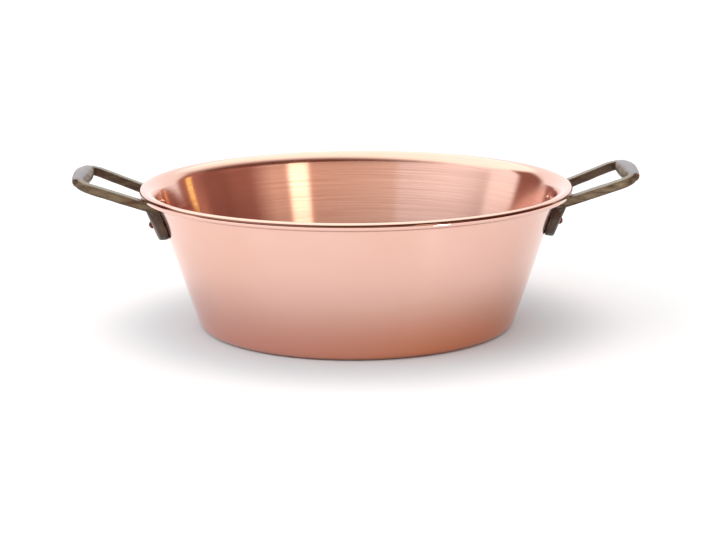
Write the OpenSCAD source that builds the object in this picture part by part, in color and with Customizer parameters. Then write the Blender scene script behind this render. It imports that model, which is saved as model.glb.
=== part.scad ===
// Jam pan: a spun copper pan with a rolled rim, and two cast side handles fastened by copper rivets.
// Origin at the centre of the base, on the floor. +Z is up and the handles lie on the X axis.

/* [Pan] */
// Outer diameter over the rolled edge
rim_d = 380; // [340:1:420]
// Height from the floor to the top of the lip
pan_h = 125; // [110:1:145]
// Lean of the wall outward from the vertical, degrees
wall_lean = 18; // [14:0.5:20]
// Thickness of the copper sheet
sheet_t = 2; // [1.5:0.1:3]
// Outer radius between base and wall
base_corner_r = 9; // [5:0.5:14]
// How far the rolled edge stands out from the line of the wall's outer face
lip_w = 10; // [9.5:0.5:14]
// Outer radius of the flare, where the wall turns outward to the rolled edge
lip_bend_r = 11; // [7:0.5:12]
// Slope of the lip between flare and rolled edge, degrees above the horizontal
lip_rise = 14; // [10:1:20]
// Diameter of the rolled edge, where the sheet is turned outward and down over a wire
bead_d = 7; // [6:0.25:8]

/* [Handle plate] */
// Depth of the plate's upper edge below the top of the lip
plate_drop = 15.5; // [14.5:0.5:18]
// Height of the plate, from its upper to its lower edge
plate_h = 27; // [24:0.5:32]
// Width of the plate at its widest, along the rim
plate_w = 98; // [92:1:110]
// Width of the plate at its upper edge
plate_top_w = 80; // [74:1:88]
// Thickness of the plate at its middle, at the foot
plate_foot_t = 9.2; // [7:0.2:10]
// Thickness of the plate at its middle, at the top
plate_top_t = 11.4; // [10:0.2:12.4]
// Thickness of the edge wall at the plate's two ends
plate_end_t = 2.6; // [1.6:0.2:4]
// Radius of the plate's outer face at its foot, seen from above
plate_crown_r = 120; // [100:5:150]
// Radius of the plate's lower corners
plate_corner_r = 12; // [8:0.5:13]
// Radius of the plate's upper corners
plate_shoulder_r = 3; // [1:0.5:6]
// Draw-in of the bevelled ends, from the edge wall to the plate's greatest thickness
plate_bevel = 15; // [10:1:18]
// Gap between the casting and the copper, and under the rivet heads
seat_gap = 0.05; // [0.05:0.05:0.3]
// Gap between the casting and the rolled edge
rim_gap = 0.4; // [0.2:0.1:1]

/* [Handle loop] */
// Length of the loop in its own plane, from the plate's outer face to the outer end
loop_len = 65.5; // [60:0.5:78]
// Width over the two legs, where they leave the plate
loop_root_w = 81; // [74:1:88]
// Width over the two legs, if they ran on to the loop's outer end
loop_w = 103; // [94:1:112]
// Width of each leg
leg_w = 12; // [9:0.5:14]
// Width of the loop's outer bar at its middle, without the swell
bar_w = 13.5; // [12:0.5:16]
// Thickness of the loop
loop_t = 8; // [6:0.5:9]
// Rise of the loop toward its outer end, degrees above the horizontal
loop_rise = 20; // [14:1:25]
// Depth of the loop's underside below the top of the lip, where it leaves the plate
loop_drop = 15; // [13:0.5:18]
// Radius of the arc that the loop's outer end follows
loop_end_r = 100; // [80:5:160]
// Radius of the loop's two outer corners
loop_corner_r = 14; // [10:1:22]
// Radius of the finger hole's corners
hole_corner_r = 5; // [3:0.5:10]
// Bevel along the loop's edges
loop_bevel = 1; // [0.5:0.25:2]
// Width of the swollen grip at its middle
grip_w = 16.5; // [14:0.5:20]
// Thickness of the swollen grip at its middle
grip_t = 14; // [9:0.5:15]
// Radius of the grip's long swell
grip_swell_r = 225; // [180:5:400]
// Length of the swell
grip_len = 72; // [60:1:78]

/* [Rivets] */
// Shank diameter
rivet_d = 4.5; // [4:0.5:5.5]
// Diameter of the domed heads
rivet_head_d = 7; // [6.5:0.5:9]
// Diameter of the upper rivets' countersunk heads at the plate's face
rivet_sunk_d = 6.4; // [6:0.2:7]
// Height of the heads inside the pan
rivet_inner_h = 2.8; // [2:0.2:3.2]
// Height of the lower rivet's head outside
rivet_outer_h = 3; // [2:0.2:3.2]
// Height of the straight collar under the lower rivet's dome
rivet_collar_h = 2; // [0.4:0.2:2.6]
// Depth of the upper rivets' countersunk heads
rivet_sink = 2; // [1:0.25:3]
// Depth of the flat seat that is cut into the plate for the lower rivet's head
rivet_seat = 0.4; // [0.2:0.1:0.8]
// Clearance around shanks and sunk heads, on the radius
rivet_fit = 0.1; // [0.05:0.05:0.3]
// Distance of the two upper rivets from the handle's middle
rivet_upper_y = 12; // [9:1:16]
// Depth of the upper rivets below the plate's upper edge, on the wall
rivet_upper_drop = 3.5; // [3.5:0.5:7]
// Depth of the lower rivet below the plate's upper edge, on the wall
rivet_lower_drop = 16.5; // [15:0.5:19]

/* [Hidden] */
$fn = 48;
pan_fn = 180;
// Slack by which a cutting solid passes the face that it cuts
cut = 1;
copper = "#d9907a";
iron = "#5b5045";

rim_r = rim_d / 2;
// Radius at which the line of the wall's outer face meets the floor
base_r = rim_r - lip_w - pan_h * tan(wall_lean);

// Radius of the wall's outer face at a height, moved out along its normal
function wall_r(z, out = 0) = base_r + z * tan(wall_lean) + out / cos(wall_lean);

// Centre of the arc between base and wall, which touches the floor and the wall's outer face
corner_c = [base_r + base_corner_r * (sin(wall_lean) - 1) / cos(wall_lean), base_corner_r];

// The lip's upper face runs on over the rolled edge
bead_r = bead_d / 2;
bead_c = [rim_r - bead_r, pan_h - bead_r];
lip_dir = [-sin(lip_rise), cos(lip_rise)];
wall_dir = [cos(wall_lean), -sin(wall_lean)];
lip_mid = bead_c + (bead_r - sheet_t / 2) * lip_dir;
// The bend under the lip has its centre at one radius from the wall's and the lip's middle lines
bend_mid_r = lip_bend_r + sheet_t / 2;
wall_line = base_r * cos(wall_lean) - sheet_t / 2 + bend_mid_r;
lip_line = lip_mid.x * sin(lip_rise) - lip_mid.y * cos(lip_rise) + bend_mid_r;
bend_c = [
  (wall_line * cos(lip_rise) - lip_line * sin(wall_lean)) / cos(wall_lean + lip_rise),
  (wall_line * sin(lip_rise) - lip_line * cos(wall_lean)) / cos(wall_lean + lip_rise)
];

// The room above one face of the sheet: inset 0 is the outer face and the sheet's thickness the
// inner one. The lip's line runs on by a small length where a cutting shape needs it.
module room(inset, run_on) {
  corner_r = base_corner_r - inset;
  bend_r = lip_bend_r + inset;
  lip_end = lip_mid + (inset - sheet_t / 2) * lip_dir + run_on * [lip_dir.y, -lip_dir.x];
  head = lip_end + 2 * sheet_t * lip_dir;
  difference() {
    union() {
      translate(corner_c) circle(corner_r);
      polygon([
        [-run_on, inset],
        [corner_c.x, inset],
        corner_c + corner_r * wall_dir,
        bend_c - bend_r * wall_dir,
        bend_c + bend_r * lip_dir,
        lip_end,
        head,
        [-run_on, head.y]
      ]);
    }
    translate(bend_c) circle(bend_r);
  }
}

module pan_profile() {
  difference() {
    room(0, 0);
    room(sheet_t, cut);
  }
  translate(bead_c) circle(bead_r, $fn = 32);
}

// Places its children at a point of the wall's outer face, with +X along the wall's outward normal
module on_wall(z, turn = 0) {
  rotate([0, 0, turn])
    translate([wall_r(z), 0, z])
      rotate([0, wall_lean, 0])
        children();
}

plate_top_z = pan_h - plate_drop;
plate_foot_z = plate_top_z - plate_h;
upper_z = plate_top_z - rivet_upper_drop;
lower_z = plate_top_z - rivet_lower_drop;
upper_turn = asin(rivet_upper_y / wall_r(upper_z));

// The plate's outer face is part of a cone smaller than the pan, so that the plate is thick at its
// middle. It leans out further than the wall, because the plate thickens upward.
foot_x = wall_r(plate_foot_z, plate_foot_t);
top_x = wall_r(plate_top_z, plate_top_t);
crown_slope = (top_x - foot_x) / plate_h;
crown_x = foot_x - plate_crown_r;
function crown_r(z) = plate_crown_r + crown_slope * (z - plate_foot_z);

// Distance from the wall's outer face to the plate's, along the wall's normal
function face_out(z, turn) =
  let (
    p = [wall_r(z) * cos(turn) - crown_x, wall_r(z) * sin(turn)],
    n = cos(wall_lean) * [cos(turn), sin(turn)],
    k = -crown_slope * sin(wall_lean),
    a = n * n - k * k,
    b = p * n - crown_r(z) * k,
    c = p * p - pow(crown_r(z), 2)
  )
  (sqrt(b * b - a * c) - b) / a;

upper_out = face_out(upper_z, upper_turn);
lower_out = face_out(lower_z, 0) - rivet_seat;

// A rod along the wall's normal, from one distance outside the wall to another
module rod(z, turn, r, from, to) {
  on_wall(z, turn)
    translate([from, 0, 0])
      rotate([0, 90, 0])
        cylinder(h = to - from, r = r);
}

// A countersunk head at the plate's outer face, which narrows inward to the shank
module sunk_head(turn, fit = 0) {
  on_wall(upper_z, turn)
    translate([upper_out - rivet_sink, 0, 0])
      rotate([0, 90, 0]) {
        cylinder(h = rivet_sink, r1 = rivet_d / 2 + fit, r2 = rivet_sunk_d / 2 + fit);
        translate([0, 0, rivet_sink]) cylinder(h = cut, r = rivet_sunk_d / 2 + fit);
      }
}

module rivet_bores() {
  r = rivet_d / 2 + rivet_fit;
  reach = sheet_t + plate_top_t + cut;
  for (turn = [-upper_turn, upper_turn]) {
    rod(upper_z, turn, r, -reach, reach);
    sunk_head(turn, rivet_fit);
  }
  rod(lower_z, 0, r, -reach, reach);
}

// Flat seat for the lower rivet's head
module lower_seat() {
  rod(lower_z, 0, rivet_head_d / 2 + rivet_fit, lower_out, lower_out + plate_top_t);
}

module both_sides() {
  children();
  rotate([0, 0, 180]) children();
}

module pan_body() {
  color(copper)
    difference() {
      rotate_extrude($fn = pan_fn) pan_profile();
      both_sides() rivet_bores();
    }
}

// All that the casting keeps clear of: the wall, the flare and the rolled edge
module copper_room() {
  rotate_extrude($fn = pan_fn) {
    translate(bead_c) circle(bead_r + rim_gap, $fn = 32);
    polygon([
      [0, 0],
      [wall_r(0, seat_gap), 0],
      [wall_r(plate_top_z, seat_gap), plate_top_z],
      [bead_c.x, bead_c.y - bead_r - rim_gap],
      [bead_c.x, pan_h],
      [0, pan_h]
    ]);
  }
}

// Everything inside the plate's outer face
module crown() {
  low = plate_foot_z - plate_h;
  high = plate_top_z + plate_h;
  translate([crown_x, 0, low])
    cylinder(h = high - low, r1 = crown_r(low), r2 = crown_r(high), $fn = pan_fn);
}

// The plate's outline, drawn in at both ends by an inset: well rounded below, narrower at the top
module plate_outline(inset) {
  low_r = plate_corner_r;
  high_r = plate_shoulder_r;
  hull()
    for (side = [-1, 1]) {
      translate([side * (plate_w / 2 - low_r - inset), low_r]) circle(low_r, $fn = 64);
      translate([side * (plate_top_w / 2 - high_r - inset), plate_h / cos(wall_lean) - high_r])
        circle(high_r, $fn = 32);
    }
}

module plate() {
  half = plate_w / 2;
  wall_here = wall_r(plate_foot_z);
  sag = (wall_here - sqrt(wall_here * wall_here - half * half)) * cos(wall_lean);
  bevel_x = plate_end_t - sag;
  inside_x = -2 * sag;
  skin = cut / 100;
  intersection() {
    crown();
    on_wall(plate_foot_z)
      rotate([90, 0, 90])
        hull() {
          translate([0, 0, inside_x]) linear_extrude(bevel_x - inside_x) plate_outline(0);
          translate([0, 0, plate_top_t - skin]) linear_extrude(skin) plate_outline(plate_bevel);
        }
  }
}

// The legs start inside the wall, and the copper's room cuts them off behind the plate
root_x = -plate_top_t - 2 * lip_w;

// The loop lies in its own plane, from the plate out to the grip
module on_loop() {
  translate([wall_r(plate_top_z, plate_top_t), 0, pan_h - loop_drop])
    rotate([0, -loop_rise, 0])
      children();
}

// The legs spread evenly from the plate to the outer end
splay = atan((loop_w - loop_root_w) / (2 * loop_len));
function leg_side(x, inset) = loop_root_w / 2 + x * tan(splay) - inset / cos(splay);

// The outer corners touch the legs' outer sides and the arc of the outer end
end_c = loop_len - loop_end_r;
corner_out = loop_end_r - loop_corner_r;
corner_far = leg_side(end_c, loop_corner_r) * cos(splay);
corner_turn = splay + asin(corner_far / corner_out);
corner_x = end_c + corner_out * cos(corner_turn);

// Part of a disc, or a whole one, with both rims bevelled
module bevelled_disc(r, from = 0, to = 360) {
  b = loop_bevel;
  rotate([0, 0, from])
    rotate_extrude(angle = to - from)
      polygon([[0, 0], [r - b, 0], [r, b], [r, loop_t - b], [r - b, loop_t], [0, loop_t]]);
}

// A plug that cuts a hole with both mouths bevelled
module bevelled_plug(r) {
  b = loop_bevel;
  rotate_extrude()
    polygon([
      [0, -cut], [r + b + cut, -cut], [r + b, 0], [r, b],
      [r, loop_t - b], [r + b, loop_t], [r + b + cut, loop_t + cut], [0, loop_t + cut]
    ]);
}

// Puts its children at both legs, a distance inside the legs' outer sides
module beside_legs(x, inset) {
  for (side = [-1, 1])
    translate([x, side * leg_side(x, inset), 0]) children();
}

module loop_outside() {
  hull() {
    beside_legs(corner_x, loop_corner_r) bevelled_disc(loop_corner_r, $fn = 48);
    beside_legs(root_x, leg_w) bevelled_disc(leg_w, $fn = 32);
  }
  translate([end_c, 0, 0])
    bevelled_disc(loop_end_r, -corner_turn, corner_turn, $fn = pan_fn);
}

module finger_hole() {
  hull() {
    beside_legs(loop_len - bar_w - hole_corner_r, leg_w + hole_corner_r)
      bevelled_plug(hole_corner_r, $fn = 32);
    beside_legs(root_x, leg_w + hole_corner_r) bevelled_plug(hole_corner_r, $fn = 32);
  }
}

// The grip's section is a lens of two arcs. Each arc is part of a barrel whose axis lies beyond
// the loop's middle plane, so the grip swells in width and thickness toward its middle.
lens_r = (grip_w * grip_w + grip_t * grip_t) / (4 * grip_t);
lens_out = lens_r - grip_t / 2;

module barrel() {
  rotate([90, 0, 0])
    rotate_extrude()
      intersection() {
        translate([lens_r - grip_swell_r, 0]) circle(grip_swell_r, $fn = pan_fn);
        translate([0, -grip_len / 2]) square([lens_r, grip_len]);
      }
}

module grip() {
  translate([loop_len - grip_w / 2, 0, loop_t / 2])
    intersection() {
      translate([0, 0, lens_out]) barrel();
      translate([0, 0, -lens_out]) barrel();
    }
}

module loop() {
  difference() {
    loop_outside();
    finger_hole();
  }
  grip();
}

module handle() {
  difference() {
    union() {
      plate();
      on_loop() loop();
    }
    copper_room();
    rivet_bores();
    lower_seat();
  }
}

module left_handle() {
  color(iron) rotate([0, 0, 180]) handle();
}

module right_handle() {
  color(iron) handle();
}

// Domed head with its flat face on X = 0
module dome(h) {
  ball_r = (rivet_head_d * rivet_head_d / 4 + h * h) / (2 * h);
  rotate([0, 90, 0])
    intersection() {
      translate([0, 0, h - ball_r]) sphere(ball_r);
      cylinder(h = h, d = rivet_head_d);
    }
}

module inner_dome(z, turn) {
  on_wall(z, turn) translate([-sheet_t - seat_gap, 0, 0]) mirror([1, 0, 0]) dome(rivet_inner_h);
}

module upper_rivet(side) {
  turn = side * upper_turn;
  color(copper) {
    intersection() {
      union() {
        rod(upper_z, turn, rivet_d / 2, -sheet_t - seat_gap, upper_out);
        sunk_head(turn);
      }
      crown();
    }
    inner_dome(upper_z, turn);
  }
}

module lower_rivet() {
  collar_out = lower_out + seat_gap + rivet_collar_h;
  color(copper) {
    rod(lower_z, 0, rivet_d / 2, -sheet_t - seat_gap, collar_out);
    rod(lower_z, 0, rivet_head_d / 2, lower_out + seat_gap, collar_out);
    on_wall(lower_z) translate([collar_out, 0, 0]) dome(rivet_outer_h);
    inner_dome(lower_z, 0);
  }
}

module left_front_rivet() { rotate([0, 0, 180]) upper_rivet(1); }
module left_back_rivet() { rotate([0, 0, 180]) upper_rivet(-1); }
module left_lower_rivet() { rotate([0, 0, 180]) lower_rivet(); }
module right_front_rivet() { upper_rivet(-1); }
module right_back_rivet() { upper_rivet(1); }
module right_lower_rivet() { lower_rivet(); }

pan_body();
left_handle();
right_handle();
left_front_rivet();
left_back_rivet();
left_lower_rivet();
right_front_rivet();
right_back_rivet();
right_lower_rivet();
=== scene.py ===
import math
import bpy
from mathutils import Matrix, Vector


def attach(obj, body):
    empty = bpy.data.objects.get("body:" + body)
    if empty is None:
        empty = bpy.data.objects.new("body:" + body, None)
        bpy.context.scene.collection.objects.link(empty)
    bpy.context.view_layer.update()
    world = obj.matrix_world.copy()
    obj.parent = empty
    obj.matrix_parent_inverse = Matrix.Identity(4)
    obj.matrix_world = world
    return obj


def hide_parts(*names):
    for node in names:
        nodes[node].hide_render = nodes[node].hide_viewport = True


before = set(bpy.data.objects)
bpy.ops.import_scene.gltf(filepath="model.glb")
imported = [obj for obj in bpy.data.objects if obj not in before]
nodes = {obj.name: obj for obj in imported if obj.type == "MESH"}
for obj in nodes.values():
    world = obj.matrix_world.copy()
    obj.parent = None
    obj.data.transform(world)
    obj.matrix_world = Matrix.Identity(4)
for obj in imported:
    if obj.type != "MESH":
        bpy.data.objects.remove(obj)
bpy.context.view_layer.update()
print("frame loaded:", len(nodes), "nodes")

sides = ("left", "right")
mergeDistance = 0.00001  # metres; points closer than this are one point
millimetresPerMetre = 1000


# leaves one object selected and active, in object mode
def only(piece):
    if bpy.context.object and bpy.context.object.mode != "OBJECT":
        bpy.ops.object.mode_set(mode="OBJECT")
    bpy.ops.object.select_all(action="DESELECT")
    piece.select_set(True)
    bpy.context.view_layer.objects.active = piece


def finishWith(piece, kind, **settings):
    only(piece)
    modifier = piece.modifiers.new(kind.lower(), kind)
    for key, value in settings.items():
        setattr(modifier, key, value)
    bpy.ops.object.modifier_apply(modifier=modifier.name)


# the linear colour that sockets and lamps take, from an sRGB hex colour
def linear(hexColour):
    parts = [int(hexColour[i:i + 2], 16) / 255 for i in (1, 3, 5)]
    return tuple(p / 12.92 if p <= 0.04045 else ((p + 0.055) / 1.055) ** 2.4 for p in parts) + (1.0,)


# gives sockets their values, or links them to other nodes' outputs
def fill(tree, node, inputs):
    for key, value in inputs.items():
        if isinstance(value, bpy.types.NodeSocket):
            tree.links.new(value, node.inputs[key])
        else:
            node.inputs[key].default_value = value


def addNode(tree, kind, inputs=None, **settings):
    node = tree.nodes.new(kind)
    for key, value in settings.items():
        setattr(node, key, value)
    fill(tree, node, inputs or {})
    return node


# carries a value from one range over to another, and holds it at both ends
def remap(tree, value, start, end, low=0.0, high=1.0, kind="LINEAR"):
    ends = {0: value, 1: start, 2: end, 3: low, 4: high}
    return addNode(tree, "ShaderNodeMapRange", ends, interpolation_type=kind).outputs[0]


def reckon(tree, operation, *values):
    return addNode(tree, "ShaderNodeMath", dict(enumerate(values)), operation=operation).outputs[0]


def reckonVector(tree, operation, *values):
    return addNode(tree, "ShaderNodeVectorMath", dict(enumerate(values)), operation=operation).outputs[0]


def lengthOf(tree, arrow):
    return addNode(tree, "ShaderNodeVectorMath", {0: arrow}, operation="LENGTH").outputs["Value"]


# how far two directions agree, from -1 to 1 where both are one long
def agreement(tree, first, second):
    pair = {0: first, 1: second}
    return addNode(tree, "ShaderNodeVectorMath", pair, operation="DOT_PRODUCT").outputs["Value"]


def blend(tree, share, first, second):
    colours = {"Factor": share, 6: first, 7: second}
    return addNode(tree, "ShaderNodeMix", colours, data_type="RGBA").outputs[2]


def noise(tree, place, scale, detail, roughness=0.5):
    look = {"Vector": place, "Scale": scale, "Detail": detail, "Roughness": roughness}
    return addNode(tree, "ShaderNodeTexNoise", look).outputs["Fac"]


def bumpFrom(tree, height, strength, depth):
    relief = {"Height": height, "Strength": strength, "Distance": depth}
    return addNode(tree, "ShaderNodeBump", relief).outputs[0]


# the place on a piece, in metres
def placeOn(tree):
    return addNode(tree, "ShaderNodeTexCoord").outputs["Object"]


def partsOf(tree, vector):
    return addNode(tree, "ShaderNodeSeparateXYZ", {0: vector}).outputs


# the level arm from the pan's axis out to a place
def armTo(tree, parts):
    return addNode(tree, "ShaderNodeCombineXYZ", {"X": parts["X"], "Y": parts["Y"]}).outputs[0]


def newMaterial(name):
    material = bpy.data.materials.new(name)
    material.use_nodes = True
    tree = material.node_tree
    return material, tree, tree.nodes["Principled BSDF"]


# The pan is one section, from the middle of the floor out and back, spun round the axis.
# Metres and degrees
pan = {
    "rimRadius": 0.190,
    "height": 0.125,
    "leanDegrees": 18,     # of the wall, from upright
    "sheet": 0.002,
    "cornerRadius": 0.009,
    "lipWidth": 0.010,
    "flareRadius": 0.011,  # of the bend from wall to lip, outside
    "lipRiseDegrees": 14,
    "beadRadius": 0.0035,  # of the rolled edge
    "wallSteps": 26,
    "floorSteps": 16,
    "wideBendSteps": 10,
    "tightBendSteps": 8,
    "rollSteps": 26,
    "turns": 222,
}


def arc(centre, radius, fromDegrees, toDegrees, steps):
    sweep = toDegrees - fromDegrees
    angles = [math.radians(fromDegrees + sweep * i / steps) for i in range(steps + 1)]
    return [(centre[0] + radius * math.cos(a), centre[1] + radius * math.sin(a)) for a in angles]


# the points between two ends, without the ends
def evenly(start, end, steps):
    run, rise = end[0] - start[0], end[1] - start[1]
    return [(start[0] + run * i / steps, start[1] + rise * i / steps) for i in range(1, steps)]


# the centre of the flare's arcs, which touch the wall on one side and the lip on the other
def flareCentre(baseRadius, beadCentre):
    lean, rise = math.radians(pan["leanDegrees"]), math.radians(pan["lipRiseDegrees"])
    halfSheet = pan["sheet"] / 2
    lipIn = pan["beadRadius"] - halfSheet
    lipMiddle = (beadCentre[0] - lipIn * math.sin(rise), beadCentre[1] + lipIn * math.cos(rise))
    middle = pan["flareRadius"] + halfSheet
    wallLine = baseRadius * math.cos(lean) - halfSheet + middle
    lipLine = lipMiddle[0] * math.sin(rise) - lipMiddle[1] * math.cos(rise) + middle
    across = math.cos(lean + rise)
    return ((wallLine * math.cos(rise) - lipLine * math.sin(lean)) / across,
            (wallLine * math.sin(rise) - lipLine * math.cos(lean)) / across)


# the angles at which the flare's underside and the rolled edge meet, seen from each one's centre
def meetingAngles(flare, beadCentre):
    under, bead = pan["flareRadius"], pan["beadRadius"]
    dx, dz = beadCentre[0] - flare[0], beadCentre[1] - flare[1]
    apart = math.hypot(dx, dz)
    along = (under ** 2 - bead ** 2 + apart ** 2) / (2 * apart)
    off = math.sqrt(under ** 2 - along ** 2)
    meet = (flare[0] + (along * dx - off * dz) / apart, flare[1] + (along * dz + off * dx) / apart)
    return [math.degrees(math.atan2(meet[1] - centre[1], meet[0] - centre[0]))
            for centre in (flare, beadCentre)]


def panSection():
    lean = math.radians(pan["leanDegrees"])
    sheet, cornerRadius, bead = pan["sheet"], pan["cornerRadius"], pan["beadRadius"]
    wide, tight = pan["wideBendSteps"], pan["tightBendSteps"]
    baseRadius = pan["rimRadius"] - pan["lipWidth"] - pan["height"] * math.tan(lean)
    corner = (baseRadius + cornerRadius * (math.sin(lean) - 1) / math.cos(lean), cornerRadius)
    beadCentre = (pan["rimRadius"] - bead, pan["height"] - bead)
    flare = flareCentre(baseRadius, beadCentre)
    meetOnFlare, meetOnBead = meetingAngles(flare, beadCentre)
    wallAngle, lipAngle = -pan["leanDegrees"], 90 + pan["lipRiseDegrees"]

    outside = arc(corner, cornerRadius, -90, wallAngle, wide)
    flareOut = arc(flare, pan["flareRadius"], 180 + wallAngle, meetOnFlare, tight)
    roll = arc(beadCentre, bead, meetOnBead % 360, 360 + lipAngle, pan["rollSteps"])
    flareIn = arc(flare, pan["flareRadius"] + sheet, lipAngle, 180 + wallAngle, wide)
    inside = arc(corner, cornerRadius - sheet, wallAngle, -90, tight)
    points = [(0, 0)] + evenly((0, 0), outside[0], pan["floorSteps"]) + outside
    points += evenly(outside[-1], flareOut[0], pan["wallSteps"]) + flareOut
    points += roll[1:] + flareIn
    points += evenly(flareIn[-1], inside[0], pan["wallSteps"]) + inside
    points += evenly(inside[-1], (0, sheet), pan["floorSteps"]) + [(0, sheet)]
    return points


def spinPan():
    points = panSection()
    bpy.ops.object.select_all(action="DESELECT")
    bpy.ops.mesh.primitive_plane_add(size=pan["sheet"] / 2, location=(0, 0, 0))
    shell = bpy.context.object
    shell.name = "panShell"
    bpy.ops.object.mode_set(mode="EDIT")
    bpy.ops.mesh.select_all(action="SELECT")
    bpy.ops.mesh.merge(type="CENTER")  # one point, which is then drawn out along the section
    for before, after in zip(points, points[1:]):
        step = (after[0] - before[0], 0, after[1] - before[1])
        bpy.ops.mesh.extrude_region_move(TRANSFORM_OT_translate={"value": step})
    bpy.ops.mesh.select_all(action="SELECT")
    bpy.ops.mesh.spin(steps=pan["turns"], angle=2 * math.pi, center=(0, 0, 0), axis=(0, 0, 1))
    bpy.ops.mesh.select_all(action="SELECT")
    bpy.ops.mesh.remove_doubles(threshold=mergeDistance)
    bpy.ops.mesh.select_all(action="SELECT")
    bpy.ops.mesh.normals_make_consistent(inside=False)
    bpy.ops.object.mode_set(mode="OBJECT")
    bpy.ops.object.shade_smooth()
    return shell


panShell = spinPan()
print("pan spun:", len(panShell.data.polygons), "faces")


# The castings and the rivets are worked up from copies of their CAD nodes. Metres
casting = {
    "voxel": 0.0008,
    "smoothing": 7,
    "plateTop": 0.106,     # below this the edges are rounder, as on the plate
    "plateSmoothing": 24,
    "pattern": ("sandSkin", "CLOUDS"),
    "unevenness": 0.0005,
    "patternSize": 0.014,
}
rivet = {
    "voxel": 0.0003,
    "smoothing": 2,
    "pattern": ("hammerBlows", "VORONOI"),
    "unevenness": 0.0004,
    "patternSize": 0.0022,
}
smoothingFactor = 0.5
patternLevel = 0.6         # over the middle, so the pattern sinks in more than it stands out


def workUp(nodeName, pieceName, shape):
    piece = bpy.data.objects.new(pieceName, nodes[nodeName].data.copy())
    bpy.context.scene.collection.objects.link(piece)
    only(piece)
    bpy.ops.object.mode_set(mode="EDIT")
    bpy.ops.mesh.select_all(action="SELECT")
    bpy.ops.mesh.remove_doubles(threshold=mergeDistance)
    bpy.ops.object.mode_set(mode="OBJECT")
    finishWith(piece, "REMESH", mode="VOXEL", voxel_size=shape["voxel"], use_smooth_shade=True)
    finishWith(piece, "SMOOTH", factor=smoothingFactor, iterations=shape["smoothing"])
    if "plateTop" in shape:
        low = [v.index for v in piece.data.vertices if v.co.z < shape["plateTop"]]
        piece.vertex_groups.new(name="plate").add(low, 1.0, "REPLACE")
        finishWith(piece, "SMOOTH", factor=smoothingFactor, iterations=shape["plateSmoothing"],
                   vertex_group="plate")
    textures, pattern = bpy.data.textures, shape["pattern"]
    texture = textures.get(pattern[0]) or textures.new(*pattern)
    texture.noise_scale = shape["patternSize"]
    finishWith(piece, "DISPLACE", texture=texture, texture_coords="LOCAL",
               strength=shape["unevenness"], mid_level=patternLevel)
    bpy.ops.object.shade_smooth()
    piece.data.materials.clear()
    return piece


handles = {side: workUp(f"{side}_handle", f"{side}Casting", casting) for side in sides}
print("handles cast")

rivets = {}
for side in sides:
    for place in ("front", "back", "lower"):
        name = f"{side}_{place}_rivet"
        rivets[name] = workUp(name, f"{side}{place.title()}Rivet", rivet)
print("rivets hammered")


# Spun copper, brushed around the axis: pale pink metal whose fine rings smear each reflection up and
# down the wall. The rings are plain to see inside and nearly polished away outside. The foot outside
# has painted shade and a painted reflection of the shaded floor, deeper in tone and more so on the
# right. The inside has painted shade, duller toward the floor. The rolled edge is bright, with a thin
# painted dark reflection low on its outer side
copperLook = {
    "pink": "#ecc3b7",
    "warm": "#e6b8a7",                # clouds that handling has left in the pink
    "cloudsPerMetre": 14.0,
    # painted shade and a painted reflection of the shaded floor at the foot outside, deeper on the right
    "footShadeLeft": "#dfa192",
    "footShadeRight": "#dd906e",
    "footShadeAcross": (-0.12, 0.06),      # metres along X, from the one tone to the other
    "footShadeHeight": 0.07,
    # painted shade, darkening the inside toward the floor
    "paintedShade": "#c09f95",
    "paintedShadeBelow": (0.05, 0.1),         # metres up, over which the inside's painted shade fades
    "ringTone": "#cf8f78",
    "ringShare": 0.2,
    "ringsFrom": (0.4, 0.68),         # of the rings' noise, where that tone sets in
    "ringMillimetres": 1.0,           # coarser than the real brushing, to show at the photograph's size
    "ringDrift": 1.1,                 # how far a ring changes on its way round
    "ringDepth": 0.000006,
    "outsideFrom": (-0.3, 0.3),       # of how much more a face looks out than up
    "outsideRings": 0.16,             # as a share of the inside's
    "polishedFrom": (0.009, 0.005),   # metres in from the rim, where the rings end
    # painted dark reflection, low on the rolled edge's outer side
    "tarnish": "#5a2a1c",
    "darkReflectionWithin": (0.0032, 0.0024),  # metres in from the rim
    "darkReflectionFrom": (0.16, 0.28),      # of the surface's upward tilt, where the line sets in
    "tarnishTo": (0.58, 0.72),        # and where it ends
    "darkReflectionShare": 0.8,
    "hazeFrom": (0.3, 0.7),           # of the rings' noise, from the least roughness to the most
    "roughness": (0.105, 0.2),
    "polish": 0.04,                   # roughness of the rolled edge
    "anisotropy": 0.9,
    "smearUpright": 0.25,             # a quarter turn from the rings' own direction
}


# noise drawn out around the axis and thin across the metal
def brushedRings(tree, parts, outward, radius):
    across = reckon(tree, "ADD", radius, parts["Z"])
    perRing = millimetresPerMetre / copperLook["ringMillimetres"]
    level = addNode(tree, "ShaderNodeCombineXYZ", {"Z": reckon(tree, "MULTIPLY", across, perRing)})
    drift = {0: outward, 3: copperLook["ringDrift"]}
    around = addNode(tree, "ShaderNodeVectorMath", drift, operation="SCALE")
    place = reckonVector(tree, "ADD", around.outputs[0], level.outputs[0])
    return noise(tree, place, scale=1.0, detail=4.0, roughness=0.7)


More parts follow.
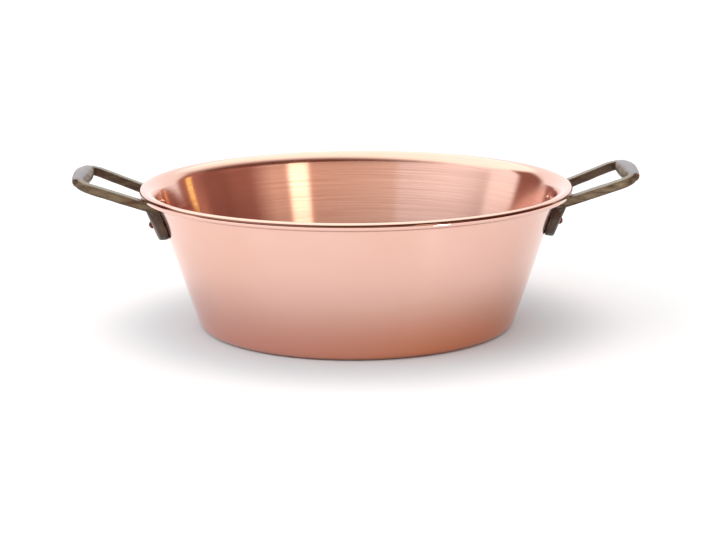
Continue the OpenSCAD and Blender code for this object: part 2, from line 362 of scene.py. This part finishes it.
def copperTones(tree, where, parts, outside, ringShare):
    look = copperLook
    pink, warm, paintedShade = linear(look["pink"]), linear(look["warm"]), linear(look["paintedShade"])
    clouds = blend(tree, noise(tree, where, look["cloudsPerMetre"], detail=2.0), pink, warm)
    # painted shade and reflection at the foot outside, fading upward and deeper on the right
    footShade = remap(tree, parts["Z"], 0.0, look["footShadeHeight"], 1.0, 0.0, kind="SMOOTHSTEP")
    sideways = remap(tree, parts["X"], *look["footShadeAcross"])
    footShadeTone = blend(tree, sideways, linear(look["footShadeLeft"]), linear(look["footShadeRight"]))
    footShaded = blend(tree, reckon(tree, "MULTIPLY", footShade, outside), clouds, footShadeTone)
    # painted shade inside, darker toward the floor
    depth = remap(tree, parts["Z"], *look["paintedShadeBelow"], 1.0, 0.0)
    inner = reckon(tree, "SUBTRACT", 1.0, outside)
    shadedBelow = blend(tree, reckon(tree, "MULTIPLY", depth, inner), footShaded, paintedShade)
    return blend(tree, ringShare, shadedBelow, linear(look["ringTone"]))


# two radii, from their distances in from the rim
def fromRim(insets):
    return [pan["rimRadius"] - inset for inset in insets]


# the painted dark reflection lies on the roll, where that faces out and a little up
def paintedDarkReflection(tree, tilt, radius):
    look = copperLook
    onRoll = remap(tree, radius, *fromRim(look["darkReflectionWithin"]))
    above = remap(tree, tilt, *look["darkReflectionFrom"])
    below = remap(tree, tilt, *look["tarnishTo"], look["darkReflectionShare"], 0.0)
    return reckon(tree, "MULTIPLY", reckon(tree, "MULTIPLY", above, below), onRoll)


def brushedCopper():
    look = copperLook
    material, tree, shader = newMaterial("brushedCopper")
    where = placeOn(tree)
    parts = partsOf(tree, where)
    arm = armTo(tree, parts)
    radius = lengthOf(tree, arm)
    outward = reckonVector(tree, "NORMALIZE", arm)
    rings = brushedRings(tree, parts, outward, radius)

    normal = addNode(tree, "ShaderNodeNewGeometry").outputs["Normal"]
    tilt = partsOf(tree, normal)["Z"]
    turned = reckon(tree, "SUBTRACT", agreement(tree, normal, outward), tilt)
    outside = remap(tree, turned, *look["outsideFrom"])
    bySide = remap(tree, turned, *look["outsideFrom"], 1.0, look["outsideRings"])
    unpolished = remap(tree, radius, *fromRim(look["polishedFrom"]), 1.0, 0.0)
    plain = reckon(tree, "MULTIPLY", bySide, unpolished)

    shade = remap(tree, rings, *look["ringsFrom"], 0.0, look["ringShare"])
    tones = copperTones(tree, where, parts, outside, reckon(tree, "MULTIPLY", shade, plain))
    haze = remap(tree, rings, *look["hazeFrom"], *look["roughness"])
    fill(tree, shader, {
        # painted dark reflection on the rolled edge
        "Base Color": blend(tree, paintedDarkReflection(tree, tilt, radius), tones, linear(look["tarnish"])),
        "Roughness": remap(tree, unpolished, 0.0, 1.0, look["polish"], haze),
        "Normal": bumpFrom(tree, rings, plain, look["ringDepth"]),
        "Tangent": addNode(tree, "ShaderNodeTangent", direction_type="RADIAL", axis="Z").outputs[0],
        "Metallic": 1.0,
        "Anisotropic": look["anisotropy"],
        "Anisotropic Rotation": look["smearUpright"],
    })
    return material


# Sand-cast iron, browned and oiled: dark and streaked along the legs, with a fine sandy skin and spots
# of rust. What faces up is a pale half-gloss, partly rubbed by hands and cloths and partly a painted
# highlight and painted reflection of the sky: tan on the legs and lilac-grey on the grip. The edges are
# worn. Soot streaks the iron; undersides and the loop's inward faces carry painted shade, and the plates
# are darker
ironLook = {
    "brown": "#7c6a52",
    # soot in the streaks, and the tone of the painted shade below and in the loop
    "sootAndPaintedShade": "#38211a",
    "streaksPerMetre": 260.0,
    "drawnOut": (0.12, 1.0, 1.0),     # the streaks are about eight times as long, along X
    "sootFrom": (0.44, 0.66),         # of the streaks
    "sootShare": 0.85,
    "plateBelow": (0.1, 0.114),       # metres up, over which the plates' extra darkening fades
    "plateDarkening": 0.34,
    # painted shade on faces that look down
    "underneath": (-0.7, 0.0),        # of the surface's upward tilt
    "paintedUnderShade": 0.7,
    "inLoop": (-0.03, -0.01),         # of the sideways tilt times Y, less than nought on inward faces
    "paintedLoopShade": 0.6,
    "rust": "#6b4531",
    "rustPerMetre": 60.0,
    "rustSeed": 3.0,
    "rustFrom": (0.52, 0.68),
    "rustShare": 0.8,
    "worn": "#9c907f",
    "wornFrom": (0.52, 0.58),         # of the pointiness, which is a half on flat faces
    "wornShare": 0.6,
    # what faces up: partly rubbed, partly a painted highlight and a painted reflection of the sky
    "legWearAndPaintedSheen": "#8b8175",
    "gripWearAndPaintedSheen": "#8f888c",
    "wearAndPaintedSheenFrom": (0.7, 1.02),        # of the upward tilt and the streaks together
    "streaksInWearAndPaintedSheen": 0.35,
    "gripOut": (0.221, 0.224),        # metres from the pan's middle, where the grip begins
    "gripHalf": (0.034, 0.038),       # and how far it reaches to each side
    "hazeFrom": (0.3, 0.7),           # of the streaks, from the least roughness to the most
    "roughness": (0.32, 0.54),
    "grainMillimetres": 0.9,          # coarser than casting sand, to show at the photograph's size
    "grainDepth": 0.0001,
    "grainStrength": 0.7,
    "metallic": 0.6,
}


# brown iron under soot and rust, with worn edges
def ironSkin(tree, where, height, streaks, pointiness):
    look = ironLook
    spotted = {"Vector": where, "W": look["rustSeed"], "Scale": look["rustPerMetre"], "Detail": 4.0}
    spots = addNode(tree, "ShaderNodeTexNoise", spotted, noise_dimensions="4D").outputs["Fac"]
    # the plates are darker, through more of the streaks
    onPlate = remap(tree, height, *look["plateBelow"], look["plateDarkening"], 0.0)
    sooty = remap(tree, reckon(tree, "ADD", streaks, onPlate), *look["sootFrom"], 0.0, look["sootShare"])
    rusty = remap(tree, spots, *look["rustFrom"], 0.0, look["rustShare"])
    worn = remap(tree, pointiness, *look["wornFrom"], 0.0, look["wornShare"])
    skin = blend(tree, sooty, linear(look["brown"]), linear(look["sootAndPaintedShade"]))
    skin = blend(tree, rusty, skin, linear(look["rust"]))
    return blend(tree, worn, skin, linear(look["worn"]))


# the pale tone of what faces up, partly rubbed and partly painted highlight and reflection, on the legs
# and on the grip
def wearAndPaintedSheenTone(tree, parts):
    look = ironLook
    reach = remap(tree, reckon(tree, "ABSOLUTE", parts["X"]), *look["gripOut"])
    middle = remap(tree, reckon(tree, "ABSOLUTE", parts["Y"]), *look["gripHalf"], 1.0, 0.0)
    onGrip = reckon(tree, "MULTIPLY", reach, middle)
    return blend(tree, onGrip, linear(look["legWearAndPaintedSheen"]), linear(look["gripWearAndPaintedSheen"]))


def brownedIron():
    look = ironLook
    material, tree, shader = newMaterial("brownedCastIron")
    where = placeOn(tree)
    parts = partsOf(tree, where)
    geometry = addNode(tree, "ShaderNodeNewGeometry").outputs
    tilt = partsOf(tree, geometry["Normal"])
    drawn = reckonVector(tree, "MULTIPLY", where, look["drawnOut"])
    streaks = noise(tree, drawn, look["streaksPerMetre"], detail=5.0, roughness=0.65)
    grain = noise(tree, where, millimetresPerMetre / look["grainMillimetres"], detail=3.0)

    skin = ironSkin(tree, where, parts["Z"], streaks, geometry["Pointiness"])
    # painted shade on undersides and on the loop's inward faces
    under = remap(tree, tilt["Z"], *look["underneath"], look["paintedUnderShade"], 0.0)
    inward = reckon(tree, "MULTIPLY", tilt["Y"], parts["Y"])
    inLoop = remap(tree, inward, *look["inLoop"], look["paintedLoopShade"], 0.0)
    paintedShaded = blend(tree, reckon(tree, "MAXIMUM", under, inLoop), skin, linear(look["sootAndPaintedShade"]))
    # painted highlight and painted reflection of the sky on what faces up, with rubbing
    patchy = reckon(tree, "MULTIPLY_ADD", streaks, look["streaksInWearAndPaintedSheen"], tilt["Z"])
    wearAndPaintedSheen = remap(tree, patchy, *look["wearAndPaintedSheenFrom"], kind="SMOOTHSTEP")
    fill(tree, shader, {
        "Base Color": blend(tree, wearAndPaintedSheen, paintedShaded, wearAndPaintedSheenTone(tree, parts)),
        "Roughness": remap(tree, streaks, *look["hazeFrom"], *look["roughness"]),
        "Normal": bumpFrom(tree, grain, look["grainStrength"], look["grainDepth"]),
        "Metallic": look["metallic"],
    })
    return material


# Drawn copper rivets, headed by hammer: redder than the pan, dark in the dents, bright inside the pan
# and tarnished brown outside
rivetLook = {
    "bright": "#eab09a",
    "dark": "#7a4336",
    "stainsPerMetre": 420.0,
    "stainsFrom": (0.45, 0.68),
    # tarnish on the rivet heads outside the pan
    "tarnish": "#6e4034",
    "outsideFrom": (0.1395, 0.1405),  # metres from the axis, less what the wall leans out at that height
    "roughness": (0.1, 0.35),
    "stainStrength": 0.5,
    "stainDepth": 0.0001,
}


def hammeredCopper():
    look = rivetLook
    material, tree, shader = newMaterial("hammeredCopper")
    where = placeOn(tree)
    parts = partsOf(tree, where)
    stains = noise(tree, where, look["stainsPerMetre"], detail=3.0)
    stained = remap(tree, stains, *look["stainsFrom"])
    tones = blend(tree, stained, linear(look["bright"]), linear(look["dark"]))
    leanIn = -math.tan(math.radians(pan["leanDegrees"]))
    beyond = reckon(tree, "MULTIPLY_ADD", parts["Z"], leanIn, lengthOf(tree, armTo(tree, parts)))
    outside = remap(tree, beyond, *look["outsideFrom"])
    fill(tree, shader, {
        "Base Color": blend(tree, outside, tones, linear(look["tarnish"])),
        "Roughness": remap(tree, stains, 0.0, 1.0, *look["roughness"]),
        "Normal": bumpFrom(tree, stains, look["stainStrength"], look["stainDepth"]),
        "Metallic": 1.0,
    })
    return material


copper, iron, rivetCopper = brushedCopper(), brownedIron(), hammeredCopper()
panShell.data.materials.clear()
panShell.data.materials.append(copper)
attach(panShell, "root")
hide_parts("pan_body")
for side, piece in handles.items():
    piece.data.materials.append(iron)
    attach(piece, "root")
    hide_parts(f"{side}_handle")
for name, piece in rivets.items():
    piece.data.materials.append(rivetCopper)
    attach(piece, "root")
    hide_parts(name)
print("materials set")


# Matt white paper for the pan to stand on. By the pan it carries painted shade, a little darker and
# cooler, which also evens out the pink light that the copper throws there. Metres
paper = {
    "size": 30.0,
    "white": "#f8f8f8",
    "paintedShadeNearPan": "#dce4e8",
    "fade": (0.16, 0.25),  # from the axis, between those two tones
    "roughness": 0.9,
    "specular": 0.1,
}


def layFloor():
    bpy.ops.object.select_all(action="DESELECT")
    bpy.ops.mesh.primitive_plane_add(size=paper["size"], location=(0, 0, 0))
    floor = bpy.context.object
    floor.name = "studioFloor"
    material, tree, shader = newMaterial("whitePaper")
    # painted shade by the pan, fading out to the white paper
    far = remap(tree, lengthOf(tree, placeOn(tree)), *paper["fade"], kind="SMOOTHSTEP")
    fill(tree, shader, {
        "Base Color": blend(tree, far, linear(paper["paintedShadeNearPan"]), linear(paper["white"])),
        "Roughness": paper["roughness"],
        "Specular IOR Level": paper["specular"],
    })
    floor.data.materials.append(material)


# What the metal mirrors round the pan, by degrees from the camera's side toward +X: white cards behind
# and on the left with a dark gap between them, a shaded front with a cream strip light at its right,
# and brown room on the right
roomTones = {
    "white": (1.2, 1.2, 1.2),
    "card": (1.34, 1.31, 1.3),
    "umber": (0.32, 0.14, 0.11),
    "shade": (1.2, 1.04, 0.9),
    "cream": (3.3, 2.9, 2.3),
    "dim": (1.06, 0.78, 0.63),
    "brown": (0.46, 0.22, 0.17),
}
roomAround = [
    (-180, "white"), (-148, "white"), (-140, "umber"), (-119, "umber"),
    (-115, "card"), (-31, "card"), (-26, "shade"), (29, "dim"),
    (31, "cream"), (42, "cream"), (44, "dim"), (54, "dim"),
    (70, "brown"), (86, "brown"), (96, "umber"), (104, "umber"),
    (113, "brown"), (129, "brown"), (134, "white"), (180, "white"),
]
# Heights and depths are the parts of a direction one long, and glows are linear colours
sky = {
    "evenLight": 1.15,             # white, for all but the metal's reflections
    "cardsFrom": (0.2, 0.34),      # height of the cards' lower edge, with dark room under it
    "behindFrom": (-0.1, 0.1),     # depth from which the cards run down to the paper instead
    "overheadFrom": (0.46, 0.55),  # height from which one big soft box takes over
    "boxToward": (-0.35, 0.45, 0.82),
    "boxEdge": (0.28, 0.8),
    "boxGlow": (1.7, 1.75, 1.65, 1.0),
    "darkGlow": (0.14, 0.036, 0.015, 1.0),
}


def ringOfTones(tree, toward):
    ahead = reckon(tree, "MULTIPLY", toward["Y"], -1.0)
    azimuth = reckon(tree, "ARCTAN2", toward["X"], ahead)
    ring = addNode(tree, "ShaderNodeValToRGB", {0: remap(tree, azimuth, -math.pi, math.pi)})
    stops = ring.color_ramp.elements
    while len(stops) < len(roomAround):
        stops.new(1.0)
    for stop, (degrees, tone) in zip(stops, roomAround):
        stop.position = 0.5 + degrees / 360
        stop.color = roomTones[tone] + (1.0,)
    return ring.outputs[0]


def lightRoom():
    world = bpy.data.worlds.new("softRoom")
    bpy.context.scene.world = world
    world.use_nodes = True
    tree = world.node_tree
    tree.nodes.clear()
    direction = addNode(tree, "ShaderNodeTexCoord").outputs["Generated"]
    toward = partsOf(tree, direction)
    nearBox = agreement(tree, direction, sky["boxToward"])
    inBox = remap(tree, nearBox, *sky["boxEdge"], kind="SMOOTHSTEP")
    overhead = blend(tree, inBox, sky["darkGlow"], sky["boxGlow"])
    lifted = remap(tree, toward["Z"], *sky["cardsFrom"], kind="SMOOTHSTEP")
    behind = remap(tree, toward["Y"], *sky["behindFrom"], kind="SMOOTHSTEP")
    lit = reckon(tree, "MAXIMUM", lifted, behind)
    around = blend(tree, lit, sky["darkGlow"], ringOfTones(tree, toward))
    upward = remap(tree, toward["Z"], *sky["overheadFrom"], kind="SMOOTHSTEP")
    mirrored = blend(tree, upward, around, overhead)

    even = addNode(tree, "ShaderNodeBackground", {"Color": (1, 1, 1, 1), "Strength": sky["evenLight"]})
    room = addNode(tree, "ShaderNodeBackground", {"Color": mirrored, "Strength": 1.0})
    glossy = addNode(tree, "ShaderNodeLightPath").outputs["Is Glossy Ray"]
    both = addNode(tree, "ShaderNodeMixShader", {0: glossy, 1: even.outputs[0], 2: room.outputs[0]})
    addNode(tree, "ShaderNodeOutputWorld", {"Surface": both.outputs[0]})


# Two lamps light the floor and cast soft shadows. The other two show in the metal only: a gold one
# behind on the right, which stands as a stripe in the inside wall, and a small low one, which makes the
# soft upright gleam on the outside. A place is an azimuth as above, an elevation and a distance, and a
# size is a width and a height. Degrees and metres
lamps = {
    "leftBox": {"place": (-62, 35, 2.4), "size": (1.6, 1.2), "glow": 2.5,
                "colour": "#ffffff", "mirrored": False},
    "rightStrip": {"place": (34, 26, 2.4), "size": (0.8, 1.0), "glow": 0.15,
                   "colour": "#ffffff", "mirrored": False},
    "goldLamp": {"place": (123, 11, 2.4), "size": (0.22, 0.75), "glow": 1.25,
                 "colour": "#ffe47c", "mirrored": True},
    "lowStrip": {"place": (34, 6, 0.45), "size": (0.05, 0.07), "glow": 9,
                 "colour": "#ffffff", "mirrored": True},
}


def hangLamps():
    for name, lamp in lamps.items():
        azimuth, elevation, distance = lamp["place"]
        width, height = lamp["size"]
        turn, lift = math.radians(azimuth), math.radians(elevation)
        level = math.cos(lift)
        toward = Vector((math.sin(turn) * level, -math.cos(turn) * level, math.sin(lift)))
        data = bpy.data.lights.new(name, "AREA")
        data.shape = "RECTANGLE"
        data.size, data.size_y = width, height
        data.energy = lamp["glow"] * math.pi * width * height  # so that a glow is what a mirror shows
        data.color = linear(lamp["colour"])[:3]
        light = bpy.data.objects.new(name, data)
        light.visible_glossy = lamp["mirrored"]
        light.visible_diffuse = not lamp["mirrored"]
        bpy.context.scene.collection.objects.link(light)
        facing = toward.to_track_quat("Z", "Y").to_matrix().to_4x4()
        light.matrix_world = Matrix.Translation(toward * distance) @ facing


# The photograph's view: metres, degrees, millimetres of lens and sensor, and the shift of its frame
shot = {
    "distance": 1.6,
    "elevation": 14.12,
    "turn": -1.1,
    "roll": -0.41,
    "lens": 89.55,
    "sensor": 36,
    "imageWidth": 716,
    "rightPixels": 1.1,
    "upPixels": 50.4,
}


def setCamera():
    data = bpy.data.cameras.new("photoCamera")
    data.lens = shot["lens"]
    data.sensor_width = shot["sensor"]
    data.shift_x = shot["rightPixels"] / shot["imageWidth"]
    data.shift_y = shot["upPixels"] / shot["imageWidth"]
    camera = bpy.data.objects.new("photoCamera", data)
    bpy.context.scene.collection.objects.link(camera)
    lift = math.radians(shot["elevation"])
    turn = Matrix.Rotation(math.radians(shot["turn"]), 4, "Z")
    tip = Matrix.Rotation(math.pi / 2 - lift, 4, "X")
    roll = Matrix.Rotation(math.radians(shot["roll"]), 4, "Z")
    place = turn @ Vector((0, -math.cos(lift), math.sin(lift))) * shot["distance"]
    camera.matrix_world = Matrix.Translation(place) @ turn @ tip @ roll
    bpy.context.scene.camera = camera


layFloor()
lightRoom()
hangLamps()
setCamera()
bpy.context.scene.view_settings.view_transform = "Standard"
print("studio ready")
